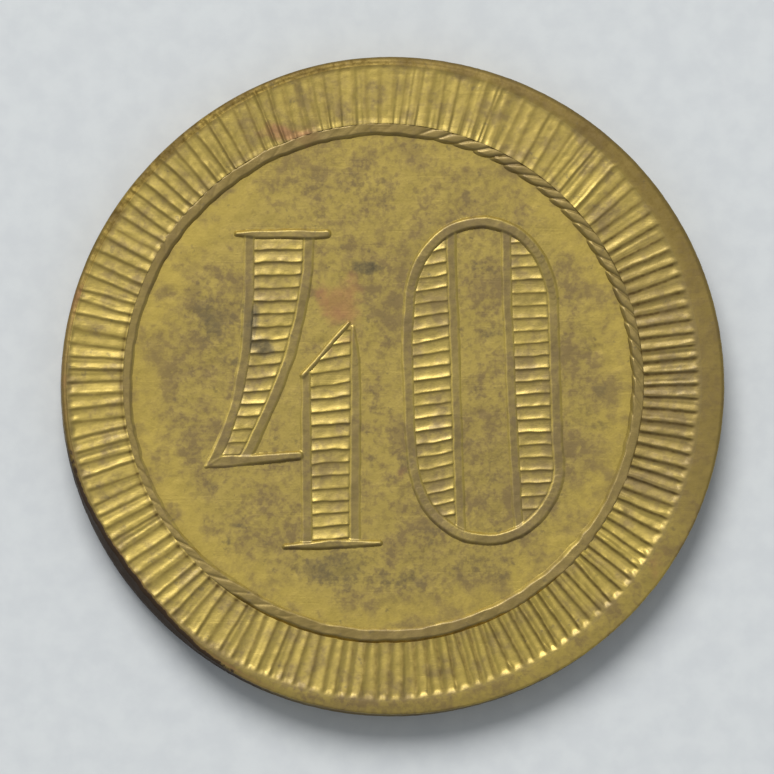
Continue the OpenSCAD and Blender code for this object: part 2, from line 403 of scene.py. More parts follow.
def border_masks(side, x, y, r, angle, off, wall, wear):
    """Colour masks of the border; off is the distance to the ray's middle, wall is 1 on the rim."""
    lean = np.cos(angle)
    outward = np.clip((r - ROPE_R) / (RAY_R - ROPE_R), 0, 1)
    # dirt and painted shade along each ridge's lower, shaded foot, most of it on the right
    foot = np.exp(-((off + 0.1 * lean) / (0.11 - 0.05 * np.abs(lean))) ** 2)
    foot = foot * (0.5 + 0.25 * (lean > 0) * lean) * wear.dirt_shade
    # painted shade: the hollows are darker where bright is low, on the right
    dull = 1 - wear.bright
    grime = (1 - wall) * (foot + 0.18 * dull) + wall * (0.05 + 0.08 * dull)
    # dirt and painted shade near the blank's edge at the top, where the rim rolls off
    to_edge = edge_from_die(side, angle[-1], 0) - r
    edge_dirt_and_shade = wear.fade * (0.4 + 0.2 * between(angle, 90, 160, 15)) * smooth(0.35, 0.05, to_edge)
    grime = np.maximum(grime, edge_dirt_and_shade)
    grime = grime + 0.2 * dull * (1 - smooth(0, 0.5, outward))
    # dirt and painted shade in the crease outside the rope on the left
    grime = grime + 0.6 * wear.crease * np.exp(-((r - ROPE_R - 0.05) / 0.07) ** 2)
    masks = toning(side, x, y)
    masks["grime"] = grime
    masks["rub"] = wall * wear.plain + (1 - wall) * 0.4 * dull
    # fresh metal and painted highlight in the hollows; pale painted highlight on the flute tips and rim at
    # the lower right
    masks["gold"] = (1 - wall) * (0.3 + 0.4 * wear.bright + 0.35 * wear.pale) + 0.4 * wall * wear.pale
    return masks


def border_surface(side, count, r):
    """The surface from the rope circle out to the blank's edge: ridges, flutes, then the rim."""
    seed = SEEDS["border"][side]
    angle = count * math.tau / RAY_COUNT
    outward = np.clip((r - ROPE_R) / (RAY_R - ROPE_R), 0, 1)
    turned = (count + ray_slip(angle, outward, r, seed)) * math.tau / RAY_COUNT
    x, y = r * np.cos(turned), r * np.sin(turned)
    wear = border_wear(side, angle, r, seed)

    # the level of the rim, the hollow inside it and the short wall between them
    ray = np.round(count).astype(int)
    t = count - ray
    middle = np.abs(t) * 2
    top = RELIEF - 0.009 - 0.004 * noise(x, y, 1.4, seed + 10) - 0.004 * noise(x, y, 0.4, seed + 11)
    wall_depth = wear.wall_depth * (1 + 0.35 * around(angle, RAY_COUNT, seed + 18))
    floor = top - wall_depth * (1.25 - 0.35 * outward)
    end = RAY_R + 0.03 - 0.03 * middle ** 4 * (1 - wear.fade)
    end = end + 0.04 * around(angle, RAY_COUNT, seed + 12)
    wall = smooth(end - 0.28 + 0.16 * wear.fade, end + 0.02 + 0.32 * wear.fade, r)

    # ridges, steeper on their lower sides
    off = t * math.tau * r / RAY_COUNT
    rib_width = 0.125 + 0.045 * np.cos(angle) * np.sign(off)
    rib = np.exp(-(off / rib_width) ** 2) * (1 - smooth(0.7, 1.0, middle))
    tall = np.random.default_rng(seed + 4).uniform(0.65, 1.1, RAY_COUNT)[ray % RAY_COUNT]
    broken = 0.85 + 0.3 * noise(x, y, 0.5, seed + 8) + 0.16 * noise(x, y, 0.2, seed + 9)
    lift = 0.052 * tall * wear.strength * broken * rib * (1 - 0.35 * outward)
    lift = lift + 0.45 * wall_depth * rib * smooth(end - 0.6, end - 0.2, r) * (1 - wear.fade)

    # a raised lip along the rope, and fine scores along the rays
    lip = 0.022 * wear.lip * np.exp(-((r - ROPE_R + 0.01) / 0.075) ** 2)
    lift = lift + lip * (1 + 0.5 * noise(x, y, 0.4, seed + 15))
    scored = 0.006 * around(angle, RAY_COUNT * 5, seed + 16) * wear.flaws
    scored = scored * (1 + 0.6 * noise(x, y, 0.9, seed + 17))
    h = floor + (top - floor) * wall + (lift + scored) * (1 - wall)
    h = np.minimum(h, top) + 0.004 * noise(x, y, 0.22, seed + 13) * (1 - wall)
    return x, y, h, border_masks(side, x, y, r, angle, off, wall, wear)


def inner_limit(side, angle):
    """Where the ray border ends and the rim begins, kept inside the blank's edge."""
    return np.minimum(RAY_R + 0.1, edge_from_die(side, angle, 0) - 0.07)


def ray_border(side, material):
    """The ring of rays, with its rows closer together towards the steep outer ends."""
    count = border_angles(side)
    angle = count * math.tau / RAY_COUNT
    first, last = ROPE_R - 0.05, inner_limit(side, angle)
    share = np.concatenate([np.linspace(0, 0.86, 24), np.linspace(0.875, 1, 12)])[:, None]
    r = first + (last - first) * share
    x, y, h, masks = border_surface(side, np.broadcast_to(count, r.shape), r)
    ring_piece(f"{side}_ray_ring", side, x, y, h, masks, material, f"{side}_ray_border")


def rim(side, material):
    """From the outer ends of the rays, level to the corner, then round it to the edge wall."""
    level_rows, corner_rows, edge_drop = 15, 9, 0.03
    count = border_angles(side)
    angle = count * math.tau / RAY_COUNT
    first = inner_limit(side, angle)
    corner = edge_from_die(side, angle, 0)
    level = first + (corner - first) * np.linspace(0, 1, level_rows)[:, None]
    drops = RELIEF * (1 - np.cos(np.linspace(0, 1, corner_rows)[1:] * math.pi / 2))
    rounded = np.stack([edge_from_die(side, angle, drop) for drop in drops])
    r = np.concatenate([level, rounded])
    x, y, h, masks = border_surface(side, np.broadcast_to(count, r.shape), r)
    soft = edge_drop * (1 - np.cos(np.linspace(0, 1, level_rows) * math.pi / 2))
    h = h - np.concatenate([soft, edge_drop + (RELIEF - edge_drop) * drops / RELIEF])[:, None]
    h = np.maximum(h, 0)
    h[-1] = 0

    # dirt and painted shade, scorching and a copper fringe towards the edge, placed by direction on the
    # flan; the lower-left wall and the upper rim's roll-off are painted darker as shade
    around_flan = np.arctan2(UP[side] * y + STRIKE[1], x + STRIKE[0])
    share = np.concatenate([np.linspace(0, 0.5, level_rows), np.linspace(0.5, 1, corner_rows)[1:]])[:, None]
    dark = smooth(0.35, 1.0, share) * (0.04 + 0.9 * between(around_flan, 185, 240, 8))
    dull = 0.42 * between(around_flan, 15, 165, 20) + 0.35 * between(around_flan, 90, 165, 15)
    dark = np.maximum(dark, smooth(-0.3, 0.3, share) * dull)
    masks["grime"] = np.maximum(masks["grime"], dark)
    # the scorched bevel at the lower left, darkened partly as painted shade
    masks["burnt"] = smooth(0.4, 0.62, share) * between(around_flan, 193, 241, 7)
    fringe = between(around_flan, 158, 250, 8) * smooth(0.1, 0.4, share)
    masks["copper"] = np.maximum(masks["copper"], 0.75 * fringe * (1 - masks["burnt"]))
    ring_piece(f"{side}_rim_ring", side, x, y, h, masks, material, f"{side}_rim")


def rope_stray(side, angle, x, y, seed):
    """How far the rope lies inside its true circle, or outside it where negative."""
    stray = 0.03 * noise(x, y, 0.9, seed) + 0.02 * noise(x, y, 0.35, seed + 1)
    if side == "obverse":
        stray = stray - 0.07 * between(angle, 142, 218, 15) + 0.09 * between(angle, 230, 312, 14)
        stray = stray + 0.05 * between(angle, 235, 290, 10) - 0.08 * between(angle, 182, 228, 8)
    return stray


def rope_freshness(side, angle, seed):
    """1 where the strands are full cushions, 0 where they are rubbed into one flat band."""
    if side == "reverse":
        return 0.7 + 0.3 * around(angle, 13, seed + 2)
    fresh = 1 - 0.93 * between(angle, 76, 197, 10) - 0.85 * between(angle, 258, 350, 14)
    fresh = fresh - 0.48 * between(angle, 200, 262, 10) - 0.3 * between(angle, -30, 18, 12)
    return fresh - 0.3 * between(angle, 240, 345, 12)


def rope_surface(side, angle, r):
    """Strands laid at a slant, with notches between them where they are fresh."""
    seed = SEEDS["rope"][side]
    x, y = r * np.cos(angle), r * np.sin(angle)
    across = (r - ROPE_R + ROPE_W / 2 + rope_stray(side, angle, x, y, seed)) / (ROPE_W / 2)
    inner = across < 0
    strand = STRAND_COUNT * angle / math.tau + 0.5 * across + 0.2 * around(angle, 43, seed + 3)
    strand = strand - 3 * smooth(205, 262, np.degrees(angle))
    uneven = np.random.default_rng(seed + 6).uniform(0.35, 1.15, STRAND_COUNT)
    fresh = rope_freshness(side, angle, seed) * uneven[np.round(strand).astype(int) % STRAND_COUNT]
    fresh = np.clip(fresh, 0.02, 1)

    # the band's outline, notched between the strands
    t = np.abs(strand - np.floor(strand) - 0.5) * 2
    gap = smooth(0.62, 1.0, t)
    half = 1.12 - 0.34 * t ** 3 * fresh * inner - 0.12 * t ** 3 * fresh * ~inner
    half = half + 0.07 * noise(x, y, 0.4, seed + 4)
    half = half + 0.12 * (across > 0) * noise(x, y, 0.55, seed + 9)
    low_edge = inner * (between(angle, 200, 352, 12) if side == "obverse" else 0.3)
    body = 1 - smooth(half - 0.45, half + 0.38 + 0.14 * low_edge, np.abs(across))

    # its crowned and lumpy top
    crown = 0.018 * fresh * (1 - np.clip(np.abs(across), 0, 1) ** 2) - 0.03 * fresh * t ** 2
    lumps = 0.007 * noise(x, y, 0.3, seed + 5) + 0.006 * noise(x, y, 0.6, seed + 7)
    top = FRAME_H - 0.018 + crown + lumps - 0.045 * gap * fresh
    if side == "obverse":
        top = top * (1 - 0.4 * between(angle, 160, 215, 12))
    h = (top + 0.02) * body - 0.02

    # dirt and painted shade at the rope's feet, left off the sides that face the light
    foot = np.where(inner, 0.65, 0.35)
    if side == "obverse":
        foot = foot * np.where(inner, 1 - between(angle, 160, 350, 12), 1 - between(angle, 45, 165, 15))
    dull = 0.8 * between(angle, 225, 300, 25) + between(angle, 55, 155, 15)
    dull = 0.16 * dull * (1 + noise(x, y, 0.5, seed + 8)) * smooth(0.5, 0.9, body)
    masks = toning(side, x, y)
    masks["grime"] = np.maximum(gap * fresh * 0.55, foot * smooth(0.9, 0.3, body)) + dull
    masks["rub"] = smooth(0.5 + 0.35 * low_edge, 0.97, body) * (1 - 0.8 * gap * fresh)
    # fresh metal and painted highlight on the rope's sides, most on the lit lower inner edge
    masks["gold"] = (0.7 + 0.3 * low_edge) * (1 - smooth(0.75, 1, body))
    return x, y, h, masks


def rope_circle(side, material):
    """The ring of rope, a little wider than the CAD circle so that its sides can run out."""
    columns = STRAND_COUNT * COLUMNS_PER_STRAND[side]
    rows, run_out = 32, 0.17
    angle, r = np.meshgrid(
        np.arange(columns) * math.tau / columns,
        np.linspace(ROPE_R - ROPE_W - run_out, ROPE_R + run_out, rows),
    )
    x, y, h, masks = rope_surface(side, angle, r)
    ring_piece(f"{side}_rope", side, x, y, h, masks, material, f"{side}_rope_circle")


# ---- numerals
RIBBON = 0.42
UPRIGHT = 0.38
FRAME_TOP = FRAME_H - 0.03
SLOPE_IN = 0.05  # a ribbon's side begins to fall this far inside its outline
SLOPE_OUT = 0.09  # and meets the field this far outside it
UPRIGHT_RELIEF = 0.36  # height of an upright ribbon, as a share of a level one
BLEND = 5  # how firmly the taller of two crossing ribbons wins
MARGIN = 0.3  # how far a figure's grid reaches past its box

HATCH_PITCH = 0.546
# Rows of vertices across one bar, in pitches, closest on its steep lower side
BAR_ROWS = (-0.16, -0.1, -0.06, -0.03, 0.0, 0.05, 0.11, 0.18, 0.27, 0.4, 0.55, 0.7)
# How far a bar's easy side runs out, and how tall it stands
BARS = {"four": (0.2, 0.044), "zero": (0.12, 0.034)}


def die_box(node):
    """Left, bottom, right and top of a CAD node in die coordinates."""
    low, high = node_box(node)
    return low[0] - STRIKE[0], low[1] - STRIKE[1], high[0] - STRIKE[0], high[1] - STRIKE[1]


FOUR = die_box("obverse_four_frame")
ZERO = die_box("obverse_zero_frame")

# Where the figures' strokes lie, in die coordinates
STROKE_TOP = FOUR[3] - 0.36
STROKE_TIP = -3.58
CROSSBAR_Y = -3.18
STEM_LEFT = -3.3
STEM_RIGHT = -1.2
STEM_FOOT = FOUR[1] + 0.3
ZERO_END = 3.6
UPRIGHT_LEFT = 2.88
UPRIGHT_RIGHT = 5.25

# The 0 isn't quite regular: height, then how far it is shifted to the right and widened there
ZERO_QUIRKS = (
    (-6.5, 0.06, 0.0), (-4.2, 0.08, 0.03), (-1.8, -0.1, 0.05), (1.6, -0.18, 0.07),
    (3.3, -0.17, 0.0), (5.0, -0.17, -0.08), (7.2, -0.15, -0.05),
)


def sweep(x_top, x_tip, bend, y):
    """x of one side of the broad stroke of the 4 at height y."""
    u = np.clip((STROKE_TOP - y) / (STROKE_TOP - STROKE_TIP), 0, 1.05)
    return x_top + (x_tip - x_top) * u ** bend


def stroke_left(y):
    """Left side of the broad stroke of the 4."""
    return sweep(FOUR[0] + 1.9, FOUR[0] + 0.28, 3.2, y)


def stroke_right(y):
    """Right side of the broad stroke of the 4."""
    return sweep(-3.2, -6.15, 1.9, y)


def ribbon_relief(x, y, ribbons):
    """Distance from the nearest ribbon's side, and the relief from 0 to 1.

    A ribbon is its centre line, its widths and, where it runs down to an upright's height at one
    end, the two x values between which it does so. Level ribbons stand prouder than upright ones.
    """
    nearest = np.full(x.shape, np.inf)
    total = np.zeros(x.shape)
    for path, widths, *low_end in ribbons:
        gain = smooth(*low_end[0], x) if low_end else 1
        relief = np.zeros(x.shape)
        for (ax, ay), (bx, by), wa, wb in zip(path[:-1], path[1:], widths[:-1], widths[1:]):
            dx, dy = bx - ax, by - ay
            t = np.clip(((x - ax) * dx + (y - ay) * dy) / (dx * dx + dy * dy), 0, 1)
            far = np.hypot(x - ax - t * dx, y - ay - t * dy) - (wa + (wb - wa) * t) / 2
            proud = UPRIGHT_RELIEF + (1 - UPRIGHT_RELIEF) * gain * abs(dx) / math.hypot(dx, dy)
            relief = np.maximum(relief, proud * (1 - smooth(-SLOPE_IN, SLOPE_OUT, far)))
            nearest = np.minimum(nearest, far)
        total = total + relief ** BLEND
    return nearest, total ** (1 / BLEND)


def side_line(side_x, heights):
    """Points down one side of a figure, from a function that gives x at height y."""
    return [(float(side_x(y)), float(y)) for y in heights]


def four_ribbons():
    """The 4's outline."""
    heights = np.linspace(STROKE_TOP, CROSSBAR_Y, 28)
    full = [RIBBON] * len(heights)
    tip = (FOUR[0] + 0.1, STROKE_TIP - 0.03)
    crossbar = [
        tip, (tip[0] + 0.7, CROSSBAR_Y - 0.2),
        (-5.7, CROSSBAR_Y - 0.1), (STEM_LEFT - 0.3, CROSSBAR_Y + 0.05),
    ]
    stem_left = [(STEM_LEFT - 0.02, 0.3), (STEM_LEFT + 0.03, STEM_FOOT)]
    stem_right = [(STEM_RIGHT - 0.12, 2.4), (STEM_RIGHT, 0.9), (STEM_RIGHT - 0.04, STEM_FOOT)]
    roof = [(STEM_LEFT - 0.14, 0.3), (-2.13, 1.87), (-1.7, 2.33), (-1.5, 2.58)]
    top_serif = [
        (FOUR[0] + 1.35, STROKE_TOP + 0.17), (FOUR[0] + 2.2, STROKE_TOP + 0.14),
        (FOUR[0] + 4.2, STROKE_TOP + 0.16), (FOUR[0] + 5.2, STROKE_TOP + 0.18),
    ]
    foot_serif = [(-4.2, FOUR[1] + 0.1), (-2.3, FOUR[1] + 0.2), (-0.15, FOUR[1] + 0.26)]
    return [
        (side_line(stroke_left, heights) + [tip], full + [0.12], (-6.5, -5.2)),
        (side_line(stroke_right, heights), full, (-6.5, -4.5)),
        (crossbar, [0.1, 0.5, 0.36, 0.3], (-6.5, -5.2)),
        (stem_left, [0.38, 0.44]),
        (stem_right, [0.1, 0.38, 0.46]),
        (roof, [0.17, 0.17, 0.15, 0.08]),
        (top_serif, [0.1, 0.34, 0.36, 0.3]),
        (foot_serif, [0.12, 0.34, 0.14]),
    ]


def zero_quirk(y):
    """Middle and half width of the 0 at height y."""
    heights, shifts, swells = zip(*ZERO_QUIRKS)
    middle = (ZERO[0] + ZERO[2]) / 2 + np.interp(y, heights, shifts)
    return middle, (ZERO[2] - ZERO[0]) / 2 + np.interp(y, heights, swells)


def zero_curve(inset):
    """Points round the 0, drawn inwards by inset."""
    top, bottom = ZERO[3] - ZERO_END, ZERO[1] + ZERO_END
    end = ZERO_END - inset
    over, under = np.linspace(0, math.pi, 40), np.linspace(math.pi, math.tau, 40)
    points = [(math.cos(a), top + end * math.sin(a)) for a in over]
    points += [(-1, y) for y in np.linspace(top, bottom, 12)[1:-1]]
    points += [(math.cos(a), bottom + end * math.sin(a)) for a in under]
    points += [(1, y) for y in np.linspace(bottom, top, 12)[1:]]
    curve = []
    for share, y in points:
        middle, half = zero_quirk(y)
        curve.append((float(middle + (half - inset) * share), float(y)))
    return curve


def upright_x(top_x, lean, bend, y):
    """x of one upright of the 0 at height y: the uprights lean to the right towards their feet."""
    return top_x + lean * np.clip((ZERO[3] - 0.5 - y) / (ZERO[3] - ZERO[1] - 1), 0, 1) ** bend


def upright_left(y):
    """Middle of the left upright of the 0."""
    return upright_x(UPRIGHT_LEFT, 0.42, 1, y)


def upright_right(y):
    """Middle of the right upright of the 0."""
    return upright_x(UPRIGHT_RIGHT, 0.55, 1.5, y)


def zero_ribbons():
    """The 0's outline and its two uprights."""
    outline = zero_curve(RIBBON / 2)
    heights = np.linspace(ZERO[3] - 0.5, ZERO[1] + 0.5, 9)
    upright = [UPRIGHT] * len(heights)
    return [
        (outline, [RIBBON] * len(outline)),
        (side_line(upright_left, heights), upright),
        (side_line(upright_right, heights), upright),
    ]


def inside_zero(x, y, inset):
    """Negative inside the 0 drawn inwards by inset, positive outside it."""
    middle, half = zero_quirk(y)
    over = np.maximum(np.maximum(y - (ZERO[3] - ZERO_END), (ZERO[1] + ZERO_END) - y), 0)
    return np.hypot((x - middle) / (half - inset), over / (ZERO_END - inset)) - 1


def four_openings(x, y):
    """The hatched parts of the 4: the broad stroke and the stem."""
    stroke = (x > stroke_left(y)) & (x < stroke_right(y))
    stroke = stroke & (y < STROKE_TOP + 0.05) & (y > CROSSBAR_Y - 0.05)
    under_roof = np.minimum(0.35 + (x - STEM_LEFT) * 1.24, 2.3)
    stem = (x > STEM_LEFT) & (x < STEM_RIGHT) & (y > STEM_FOOT - 0.15) & (y < under_roof)
    return stroke | stem


def zero_openings(x, y):
    """The hatched parts of the 0: between its outline and each upright."""
    return (inside_zero(x, y, RIBBON / 2) < 0) & ((x < upright_left(y)) | (x > upright_right(y)))


def four_slant(x, y):
    """How far the bars climb towards the right in the 4: steeper at the top of the stem."""
    stem = np.clip(x - STEM_LEFT, 0, None)
    return 0.06 * x + stem * (0.02 + 0.12 * smooth(-2.5, 1.2, y))


def zero_slant(x, y):
    """How far the bars climb towards the right in the 0: more in the left half."""
    middle = (UPRIGHT_LEFT + UPRIGHT_RIGHT) / 2
    return np.where(x < middle, 0.16, 0.045) * (x - middle)


def whole_cells(inside):
    """The grid cells whose four corners are all inside."""
    return inside[:-1, :-1] & inside[1:, :-1] & inside[1:, 1:] & inside[:-1, 1:]


def ribbon_frame(side, digit, box, ribbons, material):
    """The raised outline of a numeral, with sloping sides that run down into the field."""
    seed = SEEDS["frame"][side] + SEED_STEP[digit]
    xs = np.arange(box[0] - MARGIN, box[2] + MARGIN, RIBBON_STEP[side])
    ys = np.arange(box[1] - MARGIN, box[3] + MARGIN, RIBBON_STEP[side])
    x, y = np.meshgrid(xs, ys, indexing="ij")
    shaken_x = x + 0.025 * noise(x, y, 0.9, seed) + 0.012 * noise(x, y, 0.3, seed + 1)
    shaken_y = y + 0.025 * noise(x, y, 0.9, seed + 2) + 0.012 * noise(x, y, 0.3, seed + 3)
    far, relief = ribbon_relief(shaken_x, shaken_y, ribbons)
    relief = relief * (1 + 0.2 * noise(x, y, 1.3, seed + 6))
    body = np.clip(relief / UPRIGHT_RELIEF, 0, 1)
    worn = 1 - smooth(-SLOPE_IN - 0.04, -SLOPE_IN + 0.04, far)
    wear = 0.006 * noise(x, y, 1.0, seed + 4) + 0.005 * noise(x, y, 0.3, seed + 5)
    h = FRAME_TOP * relief + (0.01 + wear) * body - 0.01
    masks = toning(side, x, y)
    # painted shade on the sides that face down, painted highlight on the other sides
    under = np.clip(-np.gradient(far, RIBBON_STEP[side], axis=1), 0, 1)
    masks["grime"] = 0.5 * under ** 2 * (1 - worn)
    masks["rub"] = worn * (0.75 + 0.35 * noise(x, y, 1.1, seed + 7))
    masks["gold"] = (1 - under) * (1 - worn)
    chosen = whole_cells(far < SLOPE_OUT * 1.2)
    patch_piece(f"{side}_{digit}_ribbon", side, x, y, h, chosen, masks, material,
                f"{side}_{digit}_frame")


def hatch_bars(side, digit, box, openings, ribbons, slant, material):
    """Thin bars, steep below and easy above, with nearly flat metal between them."""
    seed = SEEDS["hatching"][side] + SEED_STEP[digit]
    easy, tall = BARS[digit]
    low = math.floor(box[1] / HATCH_PITCH) - 3
    high = math.ceil(box[3] / HATCH_PITCH) + 3
    rows = np.concatenate([number + np.array(BAR_ROWS) for number in range(low, high)])
    x, row = np.meshgrid(np.arange(box[0], box[2], BAR_STEP[side]), rows, indexing="ij")
    flat_y = row * HATCH_PITCH
    bar = np.floor(row + 0.2)  # a bar's rows start a little below its crest
    t = (row - bar) * HATCH_PITCH
    wander = 0.05 * noise(x, flat_y, 1.5, seed) + 0.025 * noise(x, flat_y, 0.4, seed + 1)
    y = flat_y + slant(x, flat_y) + wander
    rise = ratchet(t, 0.05, easy * (1 + 0.3 * noise(x, flat_y, 1.2, seed + 2)))
    strength = 0.85 + 0.5 * noise(x, flat_y, 0.9, seed + 3) + 0.25 * noise(x, flat_y, 0.25, seed + 4)
    bar_strength = np.random.default_rng(seed + 7).uniform(0.6, 1.2, high - low + 1)
    strength = strength * bar_strength[(bar - low).astype(int)]
    h = 0.016 + tall * rise * np.clip(strength, 0.25, 1.2) + 0.006 * noise(x, y, 0.3, seed + 5)
    under_ribbon = smooth(0.04, -0.07, ribbon_relief(x, y, ribbons)[0])
    h = h * (1 - under_ribbon) - 0.01 * under_ribbon
    masks = toning(side, x, y)
    # painted shade along each bar's steep lower side, painted highlight along its crest and easy upper side
    masks["grime"] = 0.55 * np.exp(-((t + 0.05) / 0.045) ** 2)
    masks["rub"] = 0.15 + 0.25 * noise(x, y, 0.8, seed + 6)
    masks["gold"] = 0.4 + 0.5 * ratchet(t, 0.03, 0.6 * easy)
    patch_piece(f"{side}_{digit}_bars", side, x, y, h, whole_cells(openings(x, y)), masks, material,
                f"{side}_{digit}_hatching")


# ---- flan
def square_to_disc(n):
    """An n by n grid stretched over the unit disc, with no pinched centre."""
    line = np.linspace(-1, 1, n)
    u, v = np.meshgrid(line, line, indexing="ij")
    wide = np.abs(u) > np.abs(v)
    r = np.where(wide, u, v)
    safe_u, safe_v = np.where(u == 0, 1, u), np.where(v == 0, 1, v)
    angle = np.where(wide, math.pi / 4 * v / safe_u, math.pi / 2 - math.pi / 4 * u / safe_v)
    angle = np.where((u == 0) & (v == 0), 0, angle)
    return r * np.cos(angle), r * np.sin(angle)


def face_grid(side, unit_x, unit_y):
    """One field of the blank, with its masks."""
    disc_r = ROPE_R - ROPE_W + 0.15
    x, y = unit_x * disc_r, UP[side] * unit_y * disc_r
    h = field_height(side, x, y)
    out = np.hypot(x, y)
    clean = smooth(disc_r - 2.2, disc_r - 0.6, out) * (1 - 0.7 * between(np.arctan2(y, x), 50, 125, 20))
    close = smooth(disc_r - 0.5, disc_r - 0.1, out)
    masks = toning(side, x, y)
    # dirt and painted shade at the foot of the rope, fresh metal near it
    masks.update(grime=0.15 * close, rub=0 * h, gold=0.15 + 0.6 * clean, burnt=0 * h)
    return to_world(side, x, y, h).reshape(-1, 3), masks


def edge_wall(angle):
    """Rings of points down the blank's plain edge, and their masks."""
    drops = RELIEF + (TOKEN_T / 2 - RELIEF) * np.linspace(0, 1, 12) ** 1.5
    tucked = (RELIEF + 0.03, 0.3)  # depth and inset of the rings under the rims
    sections = [("obverse", *tucked)]
    sections += [("obverse", drop, 0) for drop in drops]
    sections += [("reverse", drop, 0) for drop in drops[-2::-1]]
    sections += [("reverse", *tucked)]
    wall = []
    for side, drop, inset in sections:
        level = TOKEN_T - drop if side == "obverse" else drop
        rough = 0.006 * noise(angle * TOKEN_R, level, 0.6, 12)
        rough = (rough + 0.008) * smooth(RELIEF, RELIEF + 0.15, drop)
        radius = side_radius(side, angle, drop) - rough - inset
        x, y = radius * np.cos(angle), radius * np.sin(angle)
        wall.append(np.stack([x, y, np.full_like(angle, level)], -1))
    heights = np.concatenate(wall)[:, 2]
    turned = np.tile(angle, len(wall))
    along = turned * TOKEN_R
    burnt = between(turned, 190, 247, 13) * smooth(-0.6, 0.3, heights)
    # the edge wall is darkened with dirt and painted shade, more on its lower half and at the lower-left
    # bevel
    masks = {
        "tone": 0.5 + 0.3 * noise(along, heights, 1.7, 13),
        "copper": 0.25 + 0.25 * noise(along, heights, 2.6, 14),
        "grime": 0.55 + 0.25 * noise(along, heights, 0.8, 15),
        "rub": np.full_like(along, 0.3),
        "gold": np.zeros_like(along),
        "burnt": burnt + 0.15 * between(turned, 180, 350, 8),
    }
    return [ring * MM for ring in wall], masks


def flan(material):
    """The blank as one closed shell: two fields and the plain edge between them."""
    n = FIELD_GRID
    unit_x, unit_y = square_to_disc(n)
    number = np.arange(n * n).reshape(n, n)
    border = np.concatenate([number[:-1, 0], number[-1, :-1], number[:0:-1, -1], number[0, :0:-1]])
    obverse, obverse_masks = face_grid("obverse", unit_x, unit_y)
    reverse, reverse_masks = face_grid("reverse", unit_x, unit_y)
    wall, wall_masks = edge_wall(np.arctan2(unit_y.ravel()[border], unit_x.ravel()[border]))
    points = np.concatenate([obverse] + wall + [reverse])
    masks = {
        key: np.concatenate([obverse_masks[key].ravel(), values, reverse_masks[key].ravel()])
        for key, values in wall_masks.items()
    }

    i, j = np.meshgrid(np.arange(n - 1), np.arange(n - 1), indexing="ij")
    quads = grid_cells(number, i, j).reshape(-1, 4)
    count = len(border)
    far = n * n + len(wall) * count
    rings = [border] + [n * n + k * count + np.arange(count) for k in range(len(wall))] + [border + far]
    faces = [quads, quads[:, ::-1] + far]
    for upper, lower in zip(rings[:-1], rings[1:]):
        faces.append(np.stack([upper, lower, np.roll(lower, -1), np.roll(upper, -1)], -1))
    make_piece("flan_blank", points, np.concatenate(faces), masks, material, "flan")


# ---- materials
def linear(red, green, blue):
    """A display colour, 0 to 255, as linear light."""
    def channel(value):
        value /= 255
        return value / 12.92 if value <= 0.04045 else ((value + 0.055) / 1.055) ** 2.4
    return channel(red), channel(green), channel(blue), 1


CLEAN = linear(171, 150, 81)
# yellow for fresh metal and for painted highlights on the slopes that face the light
FRESH_AND_HIGHLIGHT = linear(192, 168, 80)
TONED = linear(132, 113, 74)
STAIN = linear(114, 101, 70)
RUBBED = linear(141, 121, 68)
PINK = linear(170, 123, 84)
MATTE = linear(128, 110, 66)
DEEP = linear(72, 68, 54)
# dark brown for dirt and for painted shade in grooves and on shaded slopes
DIRT_AND_SHADE = linear(88, 66, 20)
# near black for the scorched edge and for painted shade on the lower-left wall
BURNT_AND_SHADE = linear(50, 33, 12)

BUMP_MM = 0.012  # how high the grain and scratches stand
# Scratches: direction in radians, fineness of the noise along and across them
SCRATCHES = ((0.4, 260, 5200), (-0.9, 260, 6000), (1.45, 240, 7000))


class Graph:
    """Builds a material's nodes."""

    def __init__(self, material):
        self.tree = material.node_tree
        self.tree.nodes.clear()

    def node(self, kind, inputs, **settings):
        """A node with its settings, and its inputs: each a value or another node's output."""
        made = self.tree.nodes.new(kind)
        for key, value in settings.items():
            setattr(made, key, value)
        for key, value in inputs.items():
            if isinstance(value, (int, float, tuple)):
                made.inputs[key].default_value = value
            else:
                self.tree.links.new(value, made.inputs[key])
        return made

    def attribute(self, name):
        return self.node("ShaderNodeAttribute", {}, attribute_name=name).outputs["Fac"]

    def object_place(self):
        return self.node("ShaderNodeTexCoord", {}).outputs["Object"]

    def noise(self, place, scale, detail, roughness=0.55):
        inputs = {"Vector": place, "Scale": scale, "Detail": detail, "Roughness": roughness}
        return self.node("ShaderNodeTexNoise", inputs).outputs["Fac"]

    def math(self, operation, first, second, clamp=False):
        made = self.node("ShaderNodeMath", {0: first, 1: second}, operation=operation, use_clamp=clamp)
        return made.outputs[0]

    def ramp(self, value, low, high, out_low=0.0, out_high=1.0):
        inputs = {"Value": value, "From Min": low, "From Max": high, "To Min": out_low, "To Max": out_high}
        return self.node("ShaderNodeMapRange", inputs, interpolation_type="SMOOTHSTEP").outputs["Result"]

    def mix(self, factor, first, second):
        return self.node("ShaderNodeMix", {0: factor, 6: first, 7: second}, data_type="RGBA").outputs[2]

    def surface(self, inputs):
        """The shader, and with it the material's output."""
        shader = self.node("ShaderNodeBsdfPrincipled", inputs)
        self.node("ShaderNodeOutputMaterial", {"Surface": shader.outputs["BSDF"]})


